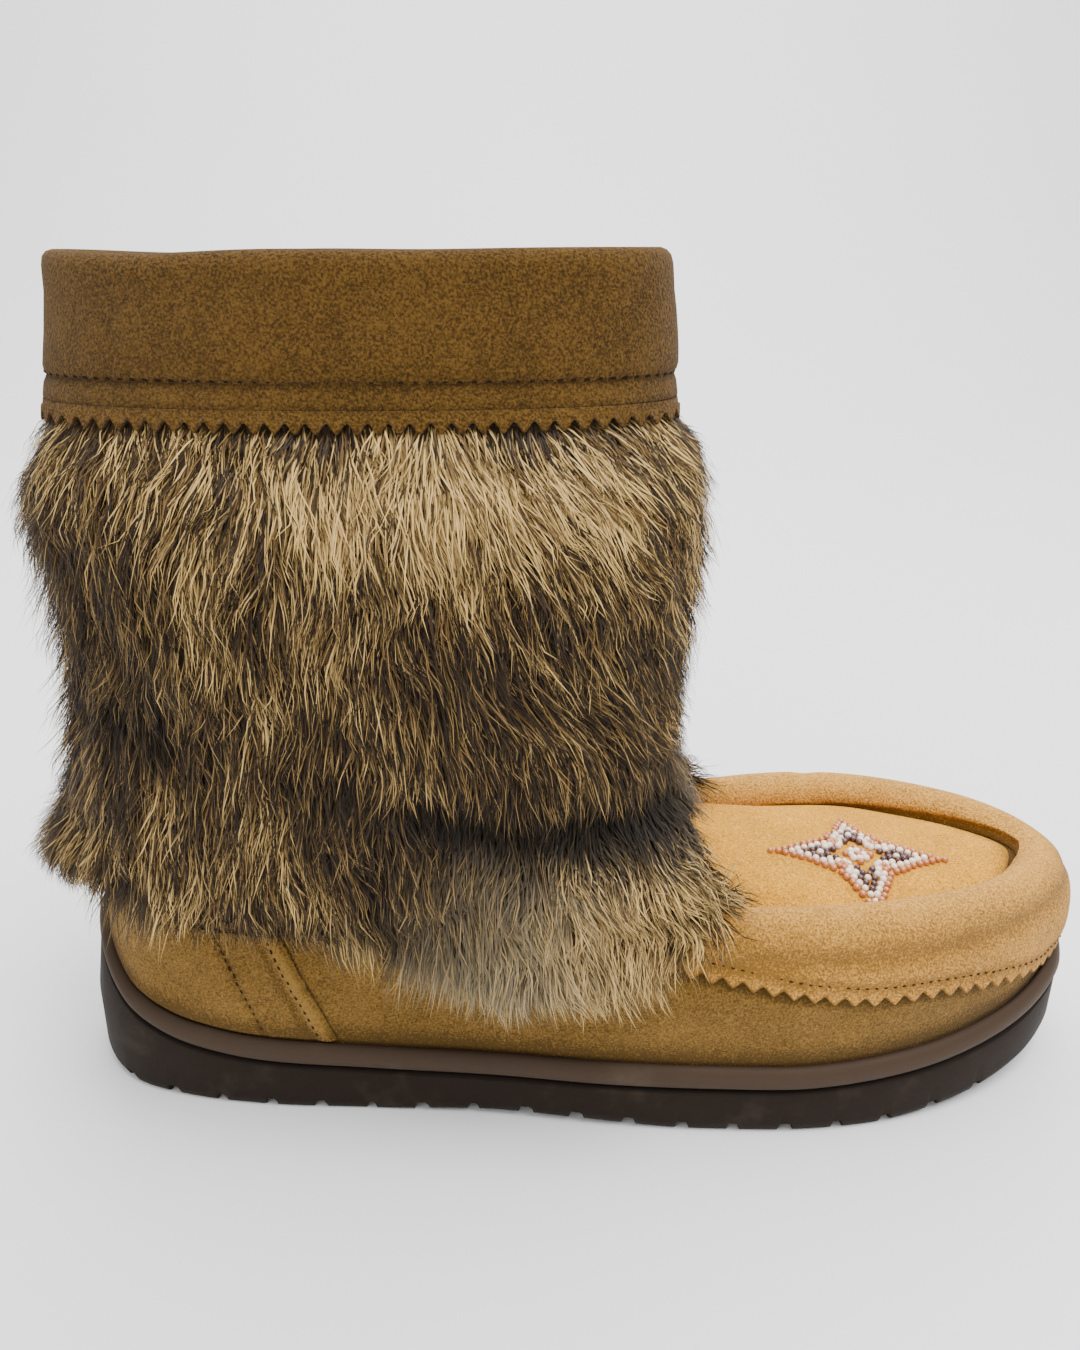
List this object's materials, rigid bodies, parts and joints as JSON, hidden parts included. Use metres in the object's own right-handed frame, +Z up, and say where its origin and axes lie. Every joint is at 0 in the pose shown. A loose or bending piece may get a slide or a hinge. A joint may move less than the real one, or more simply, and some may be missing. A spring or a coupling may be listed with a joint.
{
  "type": "mukluk boot",
  "caption": "Right mukluk boot standing empty: suede moccasin foot with a padded toe roll and beaded star, cup sole, fur shaft and suede cuff",
  "frame": {"origin": "middle of the heel's flat on the ground", "axes": "+X to the toe, +Y to the inner side of the foot, +Z up"},
  "size_m": [0.2921, 0.099, 0.22],
  "materials": {
    "sole_rubber": "matte moulded rubber with a slightly lighter rand",
    "lining": "short fleece",
    "suede": "napped suede",
    "pale_suede": "napped suede, a little paler",
    "cuff_suede": "grainy napped suede",
    "beads": "glazed seed beads, pearl, copper and plum",
    "fur": "long rabbit fur, brown with pale tips"
  },
  "bodies": {
    "root": {"outsole": "sole_rubber", "insole": "lining", "upper": "suede", "heel_counter": "suede", "vamp": "pale_suede", "apron": "pale_suede", "bead_star": "beads", "fur_shaft": "fur", "cuff": "cuff_suede", "cuff_band": "cuff_suede"}
  },
  "joints": []
}
